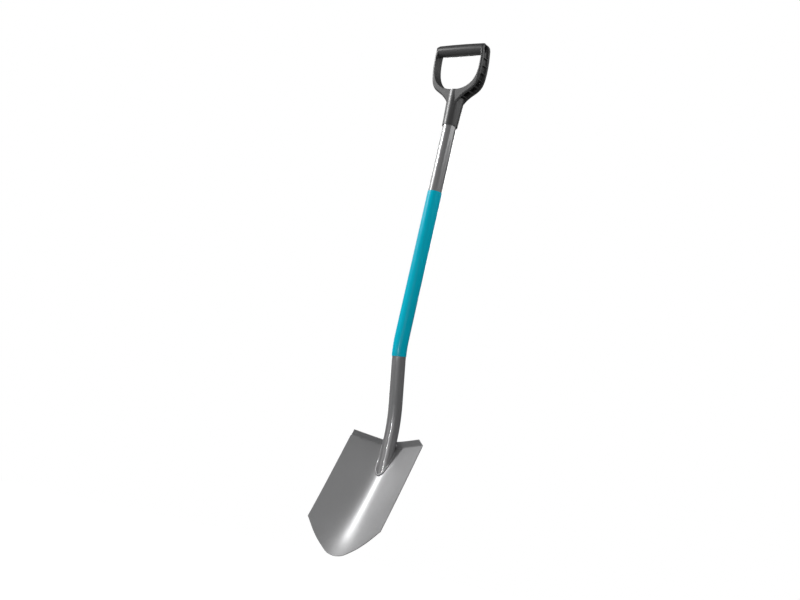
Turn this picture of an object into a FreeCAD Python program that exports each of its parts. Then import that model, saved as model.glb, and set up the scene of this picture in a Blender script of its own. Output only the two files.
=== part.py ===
import FreeCAD, Part
import os
from math import atan2, cos, degrees, hypot, pi, radians, sin, sqrt, tan

# Pointed garden spade, in millimetres. The origin is the middle of the D-handle's grip bar.
# +Z runs up along the straight upper shaft, X lies along the grip bar, and the dished
# front of the blade faces -Y.

# Shaft tube
TUBE_R = 15.5
TUBE_WALL = 1.5
SHAFT_Y = 17.3            # the shaft's axis stands this far behind the grip bar
TUBE_TOP_Z = -130.0       # inside the handle's socket
BEND_1_Z = -678.0         # the straight upper run ends here
BEND_1_ANGLE = 14.9       # backwards, degrees
BEND_1_R = 177.0
MIDDLE_RUN = 94.0
BEND_2_ANGLE = 14.0       # forwards again, degrees
BEND_2_R = 301.0
LOWER_RUN = 85.7          # along the front of the tube, from the second bend to the foot's tip

# Plastic sleeve over the tube
SLEEVE_WALL = 0.7
SLEEVE_TOP_Z = -338.3
SLEEVE_BOTTOM = 37.5      # measured along the first bend

# Blade: a dished sheet whose cross-section is a hyperbola, so it has a rounded valley and
# nearly flat wings. Its own axes are x, a (up the line of the upper valley) and d (forwards
# of that line). Below the tube's foot the valley opens out and rises towards the tip.
BLADE_ANGLE = 22.8        # the valley leans this far forwards from the shaft, degrees
SHEET = 2.0
DISH_SLOPE = 0.411
DISH_ROUND = 10.0         # roundness of the upper valley
DISH_OPENS = 14.0         # roundness gained, and forward rise, from the foot down to a = 0
BLADE_HALF_W = 95.0
BLADE_TOP = 267.5         # fold line of the treads
FOOT_A = 198.0            # the tube's front meets the valley here
POINT = [(95.0, 59.5), (83.0, 46.7), (69.0, 32.4), (48.0, 15.0), (33.0, 4.9), (20.0, -2.7),
         (9.0, -5.4), (0.0, -6.1)]
BELOW_POINT = -20.0       # the sheet is drawn down to here, then trimmed to the point
BLADE_SECTIONS = 19       # drawn across the blade
SECTION_STEPS = 9         # along each section, below the foot

# Treads: the top edge of each wing, folded forwards
TREAD_ANGLE = 60.0
TREAD_LEN = 12.2
TREAD_FOLD_R = 3.0        # inside radius of the fold
TREAD_CHAMFER = [(93.5, 29.9), (84.7, 40.7)]    # line in (x, d) that trims the outer corners
TREAD_CLEARANCE = 0.4     # round the tube

# Weld bead round the tube's foot
BEAD_R = 2.6
BEAD_REACH = 118.0        # how far round the tube each side, degrees
BEAD_STEPS = 25

# D-handle, drawn in its own plane, which leans forwards
LEAN = 6.05
BAR_R = 13.0
BAR_PROFILE = [(0.0, 13.9), (30.0, 13.7), (58.5, 13.1)]    # (x, radius)
BAR_CORE_R = 8.0
BAR_CORE_WEB = 12.0       # left solid each side of the bar's middle
FRONT_Y = -12.9
BACK_Y = 18.0
INNER_BACK_Y = 12.1       # the back slopes forwards to this depth at the opening
BACK_FLARE = 7.0          # the opening is this much wider at the very back
SHOULDER_X = 63.6         # half-width where the top corners start
CORNER_R = 9.0
FRONT_OUTER_R = 4.0       # rounding of the front face's outer edge
FRONT_INNER_R = 2.0       # and of its edge along the opening
OUTER = [(65.2, -22.0), (65.2, -42.0), (63.5, -62.0), (57.0, -85.0), (48.0, -95.6),
         (36.0, -103.8), (24.0, -113.0), (14.5, -124.0), (9.0, -134.0)]
OPENING = [(57.6, -6.0), (58.9, -24.0), (58.3, -41.0), (55.6, -58.0), (49.4, -72.5),
           (38.8, -84.0), (24.0, -91.7), (0.0, -95.0)]
WEB = 2.6                 # wall between the opening and the side pockets
POCKETS = [(-5.5, 4.0), (10.5, 4.0), (14.5, -132.0), (-9.6, -132.0)]    # side view, (y, z)
POCKET_PITCH = 17.5
RIB = 1.8

# Collar that holds the tube
RIM_Z = -179.9
RIM_R = 17.6
COLLAR_TAPER = 0.036      # radius gained per mm going up
COLLAR_TOP_Z = -92.0
COLLAR_SLOPE = [(37.2, -138.0), (25.8, -86.0), (60.0, -86.0), (60.0, -138.0)]    # cut off behind, (y, z)
RIM_LIP = 1.2

# Self-tapping screw that holds the handle on the tube, from behind
SCREW_Z = -158.0
SCREW_R = 2.1
SCREW_HEAD_R = 4.2
SCREW_HEAD_H = 2.6
SCREW_LEN = 12.0
SCREW_SUNK = 3.4
SCREW_ROOM = 0.5
CROSS_LEN = 4.4
CROSS_W = 0.9
CROSS_DEEP = 1.4

V = FreeCAD.Vector
X_AXIS, Y_AXIS, Z_AXIS = V(1, 0, 0), V(0, 1, 0), V(0, 0, 1)
FAR = 400.0               # beyond everything near by
TOUCH = 0.01              # closer than this counts as touching


def heading(angle):
    """Unit vector that points down the shaft, turned backwards by angle degrees."""
    return V(0, sin(radians(angle)), -cos(radians(angle)))


def arc_after(start, angle, turn, radius):
    """Arc that leaves start along heading(angle) and turns by turn degrees; returns edge, end."""
    side = 1 if turn > 0 else -1
    centre = start + V(0, cos(radians(angle)), sin(radians(angle))) * (side * radius)

    def at(part):
        a = radians(angle + turn * part)
        return centre - V(0, cos(a), sin(a)) * (side * radius)

    return Part.Arc(start, at(0.5), at(1.0)).toShape(), at(1.0)


# Stations of the shaft's axis
BEND_1 = V(0, SHAFT_Y, BEND_1_Z)
ARC_1, AFTER_1 = arc_after(BEND_1, 0.0, BEND_1_ANGLE, BEND_1_R)
BEND_2 = AFTER_1 + heading(BEND_1_ANGLE) * MIDDLE_RUN
ARC_2, AFTER_2 = arc_after(BEND_2, BEND_1_ANGLE, -BEND_2_ANGLE, BEND_2_R)
LAST_ANGLE = BEND_1_ANGLE - BEND_2_ANGLE
DOWN = heading(LAST_ANGLE)
TUBE_FRONT = V(0, -cos(radians(LAST_ANGLE)), -sin(radians(LAST_ANGLE)))

# Axes of the blade, and its tip
UP = V(0, sin(radians(BLADE_ANGLE)), cos(radians(BLADE_ANGLE)))
OUT = V(0, -cos(radians(BLADE_ANGLE)), sin(radians(BLADE_ANGLE)))
FOOT = AFTER_2 + DOWN * LOWER_RUN + TUBE_FRONT * TUBE_R
TIP = FOOT - UP * FOOT_A


def blade_point(x, a, d):
    return TIP + X_AXIS * x + UP * a + OUT * d


def dish(x, a=FOOT_A):
    """Height of the blade's front face above the line of the upper valley."""
    roundness = DISH_ROUND + DISH_OPENS * max(0.0, 1.0 - a / FOOT_A) ** 2
    return sqrt(roundness ** 2 + (x * DISH_SLOPE) ** 2) - DISH_ROUND


def spread(half, count):
    """Evenly spaced numbers from -half to half."""
    return [half * (2.0 * i / (count - 1) - 1.0) for i in range(count)]


def spline(points):
    curve = Part.BSplineCurve()
    curve.interpolate(points)
    return curve.toShape()


def mirrored(points):
    """A right-hand outline in (x, z), carried on round the left side."""
    return points + [(-x, z) for x, z in reversed(points) if x > 0]


def across(points, half_width):
    """Solid on a side-view (y, z) polygon, reaching half_width to each side."""
    ring = [V(-half_width, y, z) for y, z in points]
    return Part.Face(Part.makePolygon(ring + ring[:1])).extrude(X_AXIS * (2 * half_width))


def swept(path, radius, start, direction):
    ring = Part.Wire(Part.Circle(start, direction, radius).toShape())
    return path.makePipeShell([ring], True, False)


# Shaft tube and sleeve

def shaft_path(top_z, below_foot):
    top = V(0, SHAFT_Y, top_z)
    end = AFTER_2 + DOWN * (LOWER_RUN + below_foot)
    runs = [Part.makeLine(top, BEND_1), ARC_1, Part.makeLine(AFTER_1, BEND_2), ARC_2,
            Part.makeLine(AFTER_2, end)]
    return Part.Wire(runs), top


def behind_blade():
    """Everything behind the blade's front face, up to the fold of the treads."""
    front = [blade_point(x, -FAR, dish(x)) for x in spread(BLADE_HALF_W + SHEET, 2 * BLADE_SECTIONS)]
    back = [front[-1] - OUT * FAR, front[0] - OUT * FAR]
    sides = Part.makePolygon([front[-1]] + back + [front[0]])
    face = Part.Face(Part.Wire([spline(front)] + sides.Edges))
    return face.extrude(UP * (FAR + BLADE_TOP))


def shaft_tube():
    path, top = shaft_path(TUBE_TOP_Z, 2 * TUBE_R)
    outer = swept(path, TUBE_R, top, heading(0))
    inner = swept(path, TUBE_R - TUBE_WALL, top, heading(0))
    return outer.cut(inner).cut(behind_blade())


def grip_sleeve():
    turn = degrees(SLEEVE_BOTTOM / BEND_1_R)
    top = V(0, SHAFT_Y, SLEEVE_TOP_Z)
    bend = arc_after(BEND_1, 0.0, turn, BEND_1_R)[0]
    path = Part.Wire([Part.makeLine(top, BEND_1), bend])
    outer = swept(path, TUBE_R + SLEEVE_WALL, top, heading(0))
    return outer.cut(swept(path, TUBE_R, top, heading(0)))


# Blade

def blade_section(x):
    """Section of the sheet and its tread in the plane of this x."""
    fold_line = X_AXIS + OUT * (x * DISH_SLOPE ** 2 / (dish(x) + DISH_ROUND))
    normal = fold_line.cross(UP).normalize()

    def here(shift):
        """The same shift, slid along the fold line to stay in the section's plane."""
        return shift - fold_line * shift.x

    def round_fold(radius, part):
        a = radians(TREAD_ANGLE) * part
        return fold + here(normal * TREAD_FOLD_R + (UP * sin(a) - normal * cos(a)) * radius)

    fold = blade_point(x, BLADE_TOP, dish(x))
    steps = [BELOW_POINT + (FOOT_A - BELOW_POINT) * i / SECTION_STEPS for i in range(SECTION_STEPS + 1)]
    front_low = [blade_point(x, a, dish(x, a)) for a in steps]
    back_low = [p - here(normal * SHEET) for p in front_low]
    front = [round_fold(TREAD_FOLD_R, part) for part in (0, 0.5, 1)]
    back = [round_fold(TREAD_FOLD_R + SHEET, part) for part in (0, 0.5, 1)]
    tread = here(UP * cos(radians(TREAD_ANGLE)) + normal * sin(radians(TREAD_ANGLE))) * TREAD_LEN
    front_end, back_end = front[2] + tread, back[2] + tread
    return Part.Wire([
        spline(front_low), Part.makeLine(front_low[-1], front[0]), Part.Arc(*front).toShape(),
        Part.makeLine(front[2], front_end), Part.makeLine(front_end, back_end),
        Part.makeLine(back_end, back[2]), Part.Arc(*reversed(back)).toShape(),
        Part.makeLine(back[0], back_low[-1]), spline(back_low[::-1]),
        Part.makeLine(back_low[0], front_low[0])])


def blade_outline():
    """Everything inside the pointed outline, along the OUT direction."""
    right = [blade_point(x, a, -FAR / 4) for x, a in POINT]
    left = [blade_point(-x, a, -FAR / 4) for x, a in reversed(POINT)]
    point = spline(right + left[1:])
    corners = [blade_point(side * BLADE_HALF_W, BLADE_TOP + 2 * TREAD_LEN, -FAR / 4)
               for side in (-1, 1)]
    top = Part.makePolygon([left[-1]] + corners + [right[0]])
    return Part.Face(Part.Wire([point] + top.Edges)).extrude(OUT * (FAR / 2))


def tread_cuts():
    """Room for the tube between the treads, and the trimmed outer corners."""
    path, top = shaft_path(TUBE_TOP_Z, 2 * TUBE_R)
    corners = ((-FAR, -FAR), (FAR, -FAR), (FAR, FAR), (-FAR, FAR))
    square = [blade_point(x, BLADE_TOP, d) for x, d in corners]
    above = Part.Face(Part.makePolygon(square + square[:1])).extrude(UP * FAR)
    cuts = [swept(path, TUBE_R + TREAD_CLEARANCE, top, heading(0)).common(above)]
    (x0, d0), (x1, d1) = TREAD_CHAMFER
    for side in (-1, 1):
        outside = 2 * x0 - x1
        corners = [(x0, d0), (2 * x1 - x0, 2 * d1 - d0), (outside, 2 * d1 - d0), (outside, d0)]
        ring = [blade_point(side * x, BLADE_TOP, d) for x, d in corners]
        wedge = Part.Face(Part.makePolygon(ring + ring[:1]))
        cuts.append(wedge.extrude(UP * (3 * TREAD_LEN)))
    return cuts


def blade():
    stations = spread(BLADE_HALF_W + SHEET, BLADE_SECTIONS)
    sheet = Part.makeLoft([blade_section(x) for x in stations], True)
    return sheet.common(blade_outline()).cut(tread_cuts())


def foot_weld():
    """A round bead laid along the line where the tube's outside meets the blade's face."""
    rise = radians(BLADE_ANGLE + LAST_ANGLE)

    def meeting(turn):
        x = TUBE_R * sin(turn)
        height = TUBE_R * (1 - cos(turn)) * cos(rise) + dish(x)
        back = TUBE_R * (1 - cos(turn)) * sin(rise) + height / tan(rise)
        return blade_point(x, FOOT_A + back, dish(x))

    turns = [radians(t) for t in spread(BEAD_REACH, BEAD_STEPS)]
    path = Part.Wire([spline([meeting(t) for t in turns])])
    start = path.Edges[0].valueAt(path.Edges[0].FirstParameter)
    along = path.Edges[0].tangentAt(path.Edges[0].FirstParameter)
    bead = swept(path, BEAD_R, start, along)
    path_end, top = shaft_path(TUBE_TOP_Z, 2 * TUBE_R)
    filled_tube = swept(path_end, TUBE_R, top, heading(0))
    return bead.cut([filled_tube, behind_blade()])


# D-handle

def lean(shape):
    shape.rotate(V(0, 0, 0), X_AXIS, LEAN)
    return shape


def handle_outline(y):
    corner_low = V(SHOULDER_X, y, BAR_R - CORNER_R)
    corner_mid = V(corner_low.x - CORNER_R * (1 - cos(pi / 4)), y,
                   BAR_R - CORNER_R * (1 - sin(pi / 4)))
    corner_top = V(corner_low.x - CORNER_R, y, BAR_R)
    right = [corner_low] + [V(x, y, z) for x, z in OUTER]

    def flip(v):
        return V(-v.x, v.y, v.z)

    left = [flip(v) for v in reversed(right)]
    return Part.Wire([
        Part.makeLine(flip(corner_top), corner_top),
        Part.Arc(corner_top, corner_mid, corner_low).toShape(),
        spline(right), Part.makeLine(right[-1], left[0]), spline(left),
        Part.Arc(flip(corner_low), flip(corner_mid), flip(corner_top)).toShape()])


def opening_outline(y, grow=0.0):
    """The opening, grown outwards by grow, and open upwards through the bar."""
    points = mirrored(OPENING)
    grown = []
    for i, (x, z) in enumerate(points):
        (x0, z0), (x1, z1) = points[max(i - 1, 0)], points[min(i + 1, len(points) - 1)]
        length = hypot(x1 - x0, z1 - z0)
        grown.append(V(x - (z1 - z0) / length * grow, y, z + (x1 - x0) / length * grow))
    top = BAR_R + CORNER_R
    sides = Part.makePolygon([grown[-1], V(grown[-1].x, y, top), V(grown[0].x, y, top), grown[0]])
    return Part.Wire([spline(grown)] + sides.Edges)


def opening():
    """Straight through, widening at the back."""
    straight = Part.Face(opening_outline(-FAR / 4)).extrude(Y_AXIS * FAR)
    outlines = [opening_outline(INNER_BACK_Y), opening_outline(BACK_Y + SHEET, BACK_FLARE)]
    return [straight, Part.makeLoft(outlines, True)]


def arm_ribs():
    """Plates across the right side's pockets, square to the arm."""
    ribs = []
    middle = spline([V(x, 0, z) for x, z in OUTER[:-1]])
    for i in range(int(middle.Length / POCKET_PITCH) + 1):
        at = middle.getParameterByLength(i * POCKET_PITCH)
        p, t = middle.valueAt(at), middle.tangentAt(at)
        plate = Part.makeBox(FAR / 4, FAR / 4, RIB, V(-FAR / 8, -FAR / 8, -RIB / 2))
        plate.rotate(V(0, 0, 0), Y_AXIS, degrees(atan2(-t.x, -t.z)))
        plate.translate(p)
        ribs.append(plate)
    return ribs


def side_pockets():
    """Moulded recesses in the outer sides, wider towards the collar."""
    web = Part.Face(opening_outline(-FAR / 4, WEB)).extrude(Y_AXIS * FAR)
    left_half = Part.makeBox(FAR, FAR, FAR, V(-FAR, -FAR / 2, -FAR / 2))
    right = across(POCKETS, FAR / 4).cut([web, left_half] + arm_ribs())
    return [right, right.mirror(V(0, 0, 0), X_AXIS)]


def handle_plate():
    """The D outline with its opening, and the long edges of its front face rounded."""
    plate = Part.Face(handle_outline(FRONT_Y)).extrude(Y_AXIS * (BACK_Y - FRONT_Y))
    plate = plate.cut(opening()[0])
    opening_foot = OPENING[-1][1]
    for radius, outside in ((FRONT_OUTER_R, True), (FRONT_INNER_R, False)):
        front = [edge for edge in plate.Edges
                 if edge.BoundBox.YMax < FRONT_Y + TOUCH and "BSpline" in edge.Curve.TypeId]
        plate = plate.makeFillet(radius, [edge for edge in front
                                          if (edge.BoundBox.ZMin < opening_foot - TOUCH) == outside])
    return plate


def grip_bar():
    """Slightly barrel-shaped."""
    profile = [V(-x, 0, r) for x, r in reversed(BAR_PROFILE[1:])] + [V(x, 0, r) for x, r in BAR_PROFILE]
    ends = Part.makePolygon([profile[-1], V(profile[-1].x, 0, 0), V(profile[0].x, 0, 0), profile[0]])
    return Part.Face(Part.Wire([spline(profile)] + ends.Edges)).revolve(V(0, 0, 0), X_AXIS, 360)


def arm_profile():
    """Side view of the arms: straight front and back under a round top."""
    radius = (BACK_Y - FRONT_Y) / 2
    centre_y, centre_z = (BACK_Y + FRONT_Y) / 2, BAR_R - radius
    top = Part.makeCylinder(radius, FAR, V(-FAR / 2, centre_y, centre_z), X_AXIS)
    return top.fuse(Part.makeBox(FAR, 2 * radius, FAR, V(-FAR / 2, FRONT_Y, centre_z - FAR)))


def collar():
    height = COLLAR_TOP_Z - RIM_Z
    base = V(0, SHAFT_Y, RIM_Z)
    cone = Part.makeCone(RIM_R, RIM_R + COLLAR_TAPER * height, height, base, Z_AXIS)
    return cone.cut([across(COLLAR_SLOPE, FAR / 4)] + [lean(shape) for shape in opening()])


def socket():
    depth = TUBE_TOP_Z - RIM_Z
    bore = Part.makeCylinder(TUBE_R, depth, V(0, SHAFT_Y, RIM_Z), Z_AXIS)
    lead_in = Part.makeCone(TUBE_R + RIM_LIP, TUBE_R, RIM_LIP, V(0, SHAFT_Y, RIM_Z), Z_AXIS)
    return [bore, lead_in]


def d_handle():
    body = handle_plate().common(arm_profile()).cut(opening()[1])
    body = body.cut(side_pockets()).fuse(grip_bar())
    for side in (-1, 1):
        core = Part.makeCylinder(BAR_CORE_R, BAR_PROFILE[-1][0] + CORNER_R - BAR_CORE_WEB,
                                 V(side * BAR_CORE_WEB, 0, 0), X_AXIS * side)
        body = body.cut(core)
    body = lean(body).fuse(collar())
    return body.cut(socket() + screw_hole()).removeSplitter()


def screw_seat():
    """Point on the screw's axis where its head rests, below the collar's skin."""
    skin = SHAFT_Y + RIM_R + COLLAR_TAPER * (SCREW_Z - RIM_Z)
    return V(0, skin - SCREW_SUNK, SCREW_Z)


def screw_hole():
    seat = screw_seat()
    return [Part.makeCylinder(SCREW_R, SCREW_LEN, seat - Y_AXIS * SCREW_LEN, Y_AXIS),
            Part.makeCylinder(SCREW_HEAD_R + SCREW_ROOM, 2 * SCREW_SUNK, seat, Y_AXIS)]


def handle_screw():
    """Pan-head screw along Y with a cross recess."""
    seat = screw_seat()
    shank = Part.makeCylinder(SCREW_R, SCREW_LEN, seat - Y_AXIS * SCREW_LEN, Y_AXIS)
    head = Part.makeCylinder(SCREW_HEAD_R, SCREW_HEAD_H, seat, Y_AXIS)
    head = head.makeFillet(SCREW_HEAD_H / 2, [head.Edges[0]])
    top = seat + Y_AXIS * SCREW_HEAD_H
    arms = []
    for along, wide in ((CROSS_LEN, CROSS_W), (CROSS_W, CROSS_LEN)):
        arms.append(Part.makeBox(along, 2 * CROSS_DEEP, wide,
                                 top - V(along / 2, CROSS_DEEP, wide / 2)))
    return shank.fuse(head).cut(arms)


def main():
    os.makedirs("parts", exist_ok=True)
    nodes = {
        "blade": blade(),
        "shaft_tube": shaft_tube().cut(screw_hole()[0]),
        "foot_weld": foot_weld(),
        "grip_sleeve": grip_sleeve(),
        "d_handle": d_handle(),
        "handle_screw": handle_screw(),
    }
    for name, shape in nodes.items():
        shape.exportStep(os.path.join("parts", name + ".step"))
        box = shape.BoundBox
        print(name, "solids", len(shape.Solids), "valid", shape.isValid(), "volume", round(shape.Volume),
              "x", round(box.XMax, 1), "y", round(box.YMin, 1), round(box.YMax, 1),
              "z", round(box.ZMin, 1), round(box.ZMax, 1))


main()
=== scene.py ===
import math

import bpy
from mathutils import Euler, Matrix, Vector


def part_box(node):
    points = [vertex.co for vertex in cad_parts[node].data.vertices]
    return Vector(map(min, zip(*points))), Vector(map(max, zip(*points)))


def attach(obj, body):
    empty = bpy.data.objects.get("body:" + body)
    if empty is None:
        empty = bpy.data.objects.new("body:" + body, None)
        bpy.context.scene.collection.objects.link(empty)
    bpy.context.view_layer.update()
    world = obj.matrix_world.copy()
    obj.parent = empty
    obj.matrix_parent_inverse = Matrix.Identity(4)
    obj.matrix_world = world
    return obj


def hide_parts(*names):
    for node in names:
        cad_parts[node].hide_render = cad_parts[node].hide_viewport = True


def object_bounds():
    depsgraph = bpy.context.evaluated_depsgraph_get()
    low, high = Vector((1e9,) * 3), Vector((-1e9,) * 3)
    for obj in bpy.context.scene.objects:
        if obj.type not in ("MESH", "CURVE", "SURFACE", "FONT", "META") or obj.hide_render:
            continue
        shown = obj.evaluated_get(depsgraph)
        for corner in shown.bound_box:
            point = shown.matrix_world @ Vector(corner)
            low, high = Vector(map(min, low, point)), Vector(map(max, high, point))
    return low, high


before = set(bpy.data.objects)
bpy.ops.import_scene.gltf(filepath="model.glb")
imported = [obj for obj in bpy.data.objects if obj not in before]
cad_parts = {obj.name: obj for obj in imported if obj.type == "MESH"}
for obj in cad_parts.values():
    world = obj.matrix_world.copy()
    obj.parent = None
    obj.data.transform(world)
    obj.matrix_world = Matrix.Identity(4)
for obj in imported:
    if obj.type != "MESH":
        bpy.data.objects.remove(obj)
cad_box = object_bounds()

BODY = "root"                                  # every piece rides on it
SCENE = bpy.context.scene
LOWEST = cad_box[0].z

# what the lights aim at
CENTRE = (cad_box[0] + cad_box[1]) / 2
FOOT = sum(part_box("foot_weld"), Vector()) / 2
HANDLE = Vector((0, 0, -0.1))
UPPER_SHAFT = Vector((0, 0, -0.45))


# ---------------------------------------------------------------- camera, floor and light

CAMERA_AT = (1.4712, -2.0224, -1.1177)
CAMERA_TURN = (102.055, -12.582, 33.647)       # Euler XYZ, degrees
SENSOR = 36.0                                  # mm
CAMERA_LENS = 52.95                            # mm
CAMERA_SEES = 60.0                             # how far, in metres

SEEN_LEVEL = 1.0                               # brightness of the surround to the camera
CAST_LEVEL = 0.06                              # and as a light on the spade

FLOOR_GAP = 0.14                               # the spade hangs this far above the floor
FLOOR_R = 9.0
FLOOR_SIDES = 96
FLOOR_GREY = (0.30, 0.30, 0.30, 1)

# name, target, azimuth, elevation, distance, (width, height), power. The key stands high on the
# left. Long soft boxes on the left and behind on the right light the handle and the shaft. Lower
# down there are a box on the left, a big dim one in front, and a panel beside a narrow strip.
# The last one lights the back.
LIGHTS = [
    ("key", FOOT, -54, 33, 3.6, (0.6, 0.6), 66),
    ("left_box", UPPER_SHAFT, -68, 27, 1.7, (3.0, 0.8), 8),
    ("left_low", FOOT, -120, 4, 2.6, (1.6, 0.9), 10),
    ("front_box", FOOT, 34, 0, 3.2, (2.2, 2.2), 12),
    ("rear_box", HANDLE, 98, 32, 1.8, (2.5, 1.0), 17),
    ("panel", FOOT, -24, 1, 3.0, (1.9, 0.6), 3),
    ("strip", FOOT, 14, -1, 3.0, (0.04, 0.8), 13),
    ("back_light", CENTRE, 208, 24, 3.2, (1.4, 1.4), 36),
]


def add_camera():
    data = bpy.data.cameras.new("camera")
    data.lens, data.sensor_width, data.clip_end = CAMERA_LENS, SENSOR, CAMERA_SEES
    camera = bpy.data.objects.new("camera", data)
    camera.location = CAMERA_AT
    camera.rotation_euler = Euler([math.radians(a) for a in CAMERA_TURN], "XYZ")
    SCENE.collection.objects.link(camera)
    SCENE.camera = camera


def add_light(name, target, azimuth, elevation, distance, size, power):
    """Area light aimed at target; azimuth 0 is in front, positive towards +X."""
    data = bpy.data.lights.new(name, "AREA")
    data.shape, data.size, data.size_y = "RECTANGLE", size[0], size[1]
    data.energy = power
    light = bpy.data.objects.new(name, data)
    a, e = math.radians(azimuth), math.radians(elevation)
    away = Vector((math.sin(a) * math.cos(e), -math.cos(a) * math.cos(e), math.sin(e)))
    light.location = target + away * distance
    light.rotation_euler = away.to_track_quat("Z", "Y").to_euler()
    SCENE.collection.objects.link(light)


def camera_ray_level(tree, others, camera, socket):
    """Feed socket one value for what the camera sees directly and another for all other rays."""
    path = tree.nodes.new("ShaderNodeLightPath")
    level = tree.nodes.new("ShaderNodeMapRange")
    level.inputs["To Min"].default_value = others
    level.inputs["To Max"].default_value = camera
    tree.links.new(path.outputs["Is Camera Ray"], level.inputs["Value"])
    tree.links.new(level.outputs["Result"], socket)


def add_world():
    """A surround that is white to the camera and lights the spade only a little."""
    world = bpy.data.worlds.new("studio")
    world.use_nodes = True
    back = world.node_tree.nodes["Background"]
    back.inputs["Color"].default_value = (1, 1, 1, 1)
    camera_ray_level(world.node_tree, CAST_LEVEL, SEEN_LEVEL, back.inputs["Strength"])
    SCENE.world = world


def add_floor():
    mesh = bpy.data.meshes.new("floor")
    z = LOWEST - FLOOR_GAP
    ring = [(FLOOR_R * math.cos(t), FLOOR_R * math.sin(t), z)
            for t in (i * math.tau / FLOOR_SIDES for i in range(FLOOR_SIDES))]
    mesh.from_pydata(ring, [], [list(range(FLOOR_SIDES))])
    floor = bpy.data.objects.new("floor", mesh)
    SCENE.collection.objects.link(floor)
    look = bpy.data.materials.new("floor")
    look.use_nodes = True
    shader = look.node_tree.nodes["Principled BSDF"]
    shader.inputs["Base Color"].default_value = FLOOR_GREY
    shader.inputs["Specular IOR Level"].default_value = 0.0
    shader.inputs["Roughness"].default_value = 1.0
    shader.inputs["Emission Color"].default_value = (1, 1, 1, 1)
    camera_ray_level(look.node_tree, 0.0, SEEN_LEVEL, shader.inputs["Emission Strength"])
    mesh.materials.append(look)


SCENE.view_settings.view_transform = "Standard"
add_camera()
add_world()
add_floor()
for light in LIGHTS:
    add_light(*light)


# ---------------------------------------------------------------- materials

LOW, HIGH = 0.3, 0.7                           # part of the noise that a ramp spreads out
FLAKE_LOW = 0.35                               # the same lower end for paint flakes
FLAKE = 0.0008                                 # size of a paint flake, in metres
PEEL_HEIGHT = 0.00003                          # relief of the paint on the blade
FINE_HEIGHT = 0.00002                          # relief of the tube's paint and of the plastics
TIP_ROUGH_SHADED_ZONE = 0.062                               # height of the zone at the blade's tip that is rougher and painted darker, a painted shade for the highlight fading there


class Look:
    """A material with a Principled shader and short ways to add the nodes that feed it."""

    def __init__(self, name):
        self.material = bpy.data.materials.new(name)
        self.material.use_nodes = True
        self.tree = self.material.node_tree
        self.shader = self.tree.nodes["Principled BSDF"]
        self.where = self.node("ShaderNodeTexCoord").outputs["Object"]

    def node(self, kind, **settings):
        node = self.tree.nodes.new(kind)
        for key, value in settings.items():
            setattr(node, key, value)
        return node

    def link(self, out, into):
        self.tree.links.new(out, into)

    def set(self, **values):
        for key, value in values.items():
            self.shader.inputs[key.replace("_", " ")].default_value = value

    def noise(self, size, detail, stretch=(1, 1, 1)):
        """Noise whose features are about size metres wide."""
        scale = self.node("ShaderNodeMapping")
        scale.inputs["Scale"].default_value = [s / size for s in stretch]
        self.link(self.where, scale.inputs["Vector"])
        noise = self.node("ShaderNodeTexNoise")
        noise.inputs["Scale"].default_value = 1.0
        noise.inputs["Detail"].default_value = detail
        self.link(scale.outputs["Vector"], noise.inputs["Vector"])
        return noise.outputs["Fac"]

    def height(self, low, high):
        """0 below the height low, 1 above high, in metres."""
        parts = self.node("ShaderNodeSeparateXYZ")
        self.link(self.where, parts.inputs["Vector"])
        level = self.node("ShaderNodeMapRange", interpolation_type="SMOOTHSTEP")
        level.inputs["From Min"].default_value = low
        level.inputs["From Max"].default_value = high
        self.link(parts.outputs["Z"], level.inputs["Value"])
        return level.outputs["Result"]

    def ramp(self, value, one, two, low=LOW, high=HIGH):
        """From one at low to two at high; each is a grey or an rgb."""
        ramp = self.node("ShaderNodeValToRGB")
        for element, position, colour in zip(ramp.color_ramp.elements, (low, high), (one, two)):
            element.position = position
            element.color = (*(colour if isinstance(colour, tuple) else (colour,) * 3), 1)
        self.link(value, ramp.inputs["Fac"])
        return ramp.outputs["Color"]

    def mix(self, kind, one, two):
        """Blend two colours fully, by kind."""
        node = self.node("ShaderNodeMix", data_type="RGBA", blend_type=kind)
        node.inputs["Factor"].default_value = 1.0
        colour_sockets = [s for s in node.inputs if s.type == "RGBA"]
        for source, socket in zip((one, two), colour_sockets):
            self.link(source, socket)
        return next(s for s in node.outputs if s.type == "RGBA")

    def bump(self, height, distance):
        node = self.node("ShaderNodeBump")
        node.inputs["Distance"].default_value = distance
        node.inputs["Strength"].default_value = 1.0
        self.link(height, node.inputs["Height"])
        return node.outputs["Normal"]

    def finish(self, colour, roughness, normal):
        self.link(colour, self.shader.inputs["Base Color"])
        self.link(roughness, self.shader.inputs["Roughness"])
        self.link(normal, self.shader.inputs["Normal"])
        return self.material


def blade_enamel():
    look = Look("blade_enamel")
    look.set(Metallic=0.27)
    flakes = look.ramp(look.noise(FLAKE, 1.0), (0.32, 0.32, 0.325), (0.36, 0.36, 0.365), FLAKE_LOW)
    clouds = look.ramp(look.noise(0.06, 4.0, (1, 1, 0.4)), 0.95, 1.0)
    above_shaded_tip = look.height(LOWEST, LOWEST + TIP_ROUGH_SHADED_ZONE)
    colour = look.mix("MULTIPLY", flakes, clouds)
    # painted shade: the colour darkens to 0.72 at the tip to dim the highlight there
    colour = look.mix("MULTIPLY", colour, look.ramp(above_shaded_tip, 0.72, 1.0, 0.0, 1.0))
    roughness = look.ramp(look.noise(0.03, 5.0, (1, 1, 0.3)), 0.335, 0.37)
    roughness = look.mix("LIGHTEN", roughness, look.ramp(above_shaded_tip, 0.48, 0.33, 0.0, 1.0))
    peel = look.bump(look.noise(0.003, 2.0), PEEL_HEIGHT)
    return look.finish(colour, roughness, peel)


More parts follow.
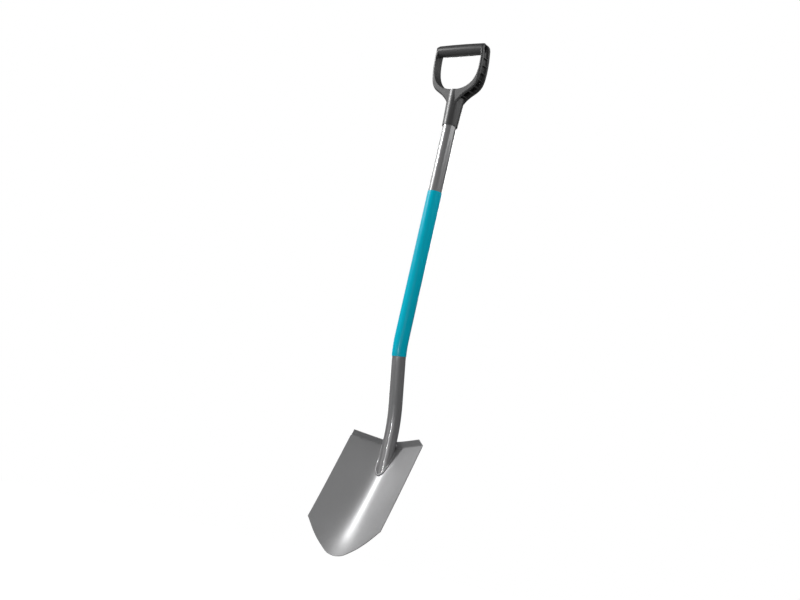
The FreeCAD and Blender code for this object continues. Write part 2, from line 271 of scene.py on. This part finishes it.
def tube_enamel(name):
    look = Look(name)
    look.set(Metallic=0.3, Coat_Weight=1.0, Coat_Roughness=0.03)
    flakes = look.ramp(look.noise(FLAKE, 1.0), (0.29, 0.29, 0.295), (0.34, 0.34, 0.345), FLAKE_LOW)
    clouds = look.ramp(look.noise(0.05, 4.0, (1, 1, 0.3)), 0.93, 1.0)
    colour = look.mix("MULTIPLY", flakes, clouds)
    roughness = look.ramp(look.noise(0.02, 4.0, (1, 1, 0.2)), 0.27, 0.31)
    peel = look.bump(look.noise(0.004, 2.0), FINE_HEIGHT)
    return look.finish(colour, roughness, peel)


def sleeve_plastic():
    look = Look("sleeve_plastic")
    look.set(Specular_IOR_Level=0.25)
    colour = look.ramp(look.noise(0.04, 5.0, (1, 1, 0.2)), (0.0, 0.53, 0.71), (0.0, 0.58, 0.77))
    roughness = look.ramp(look.noise(0.01, 4.0, (1, 1, 0.3)), 0.17, 0.23)
    grain = look.bump(look.noise(0.0012, 3.0, (1, 1, 0.5)), FINE_HEIGHT)
    return look.finish(colour, roughness, grain)


def handle_plastic():
    look = Look("handle_plastic")
    look.set(Specular_IOR_Level=0.6)
    colour = look.ramp(look.noise(0.02, 5.0), (0.055, 0.055, 0.056), (0.068, 0.068, 0.069))
    roughness = look.ramp(look.noise(0.008, 4.0), 0.33, 0.40)
    grain = look.bump(look.noise(0.0009, 3.0), FINE_HEIGHT)
    return look.finish(colour, roughness, grain)


def screw_zinc():
    look = Look("screw_steel")
    look.set(Metallic=1.0)
    colour = look.ramp(look.noise(0.002, 3.0), (0.50, 0.50, 0.48), (0.66, 0.65, 0.62))
    roughness = look.ramp(look.noise(0.0008, 3.0), 0.25, 0.4)
    scratches = look.bump(look.noise(0.0004, 3.0), PEEL_HEIGHT)
    return look.finish(colour, roughness, scratches)


def dress(node, material):
    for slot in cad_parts[node].material_slots:
        slot.material = material


dress("blade", blade_enamel())
dress("shaft_tube", tube_enamel("tube_enamel"))
dress("grip_sleeve", sleeve_plastic())
dress("d_handle", handle_plastic())
dress("handle_screw", screw_zinc())


# ---------------------------------------------------------------- weld bead

RIPPLE = 0.0026                                # length of one ripple along the bead
RIPPLE_HEIGHT = 0.00028
BEAD_CELL = 0.0005                             # size of one face


def remeshed(node, cell):
    """An even fine mesh with the shape of a CAD node."""
    copy = bpy.data.objects.new("remesh_source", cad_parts[node].data.copy())
    SCENE.collection.objects.link(copy)
    grid = copy.modifiers.new("grid", "REMESH")
    grid.mode, grid.voxel_size = "VOXEL", cell
    bpy.context.view_layer.update()
    graph = bpy.context.evaluated_depsgraph_get()
    mesh = bpy.data.meshes.new_from_object(copy.evaluated_get(graph))
    bpy.data.objects.remove(copy)
    return mesh


def ripple_weld():
    """The bead runs down one side of the tube's foot, round its end and up the other side."""
    mesh = remeshed("foot_weld", BEAD_CELL)
    low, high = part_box("foot_weld")
    radius = (high.x - low.x) / 2
    turn = low.z + radius
    moved = []
    for vertex in mesh.vertices:
        side, up = abs(vertex.co.x), vertex.co.z - turn
        along = up if up > 0 else -radius * math.atan2(-up, side)
        wave = abs(math.sin(math.pi * along / RIPPLE)) - 0.5
        moved.append(vertex.co + vertex.normal * wave * RIPPLE_HEIGHT)
    for vertex, place in zip(mesh.vertices, moved):
        vertex.co = place
    mesh.shade_smooth()
    bead = bpy.data.objects.new("weld_bead", mesh)
    SCENE.collection.objects.link(bead)
    mesh.materials.clear()
    mesh.materials.append(tube_enamel("weld_paint"))
    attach(bead, BODY)
    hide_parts("foot_weld")


ripple_weld()
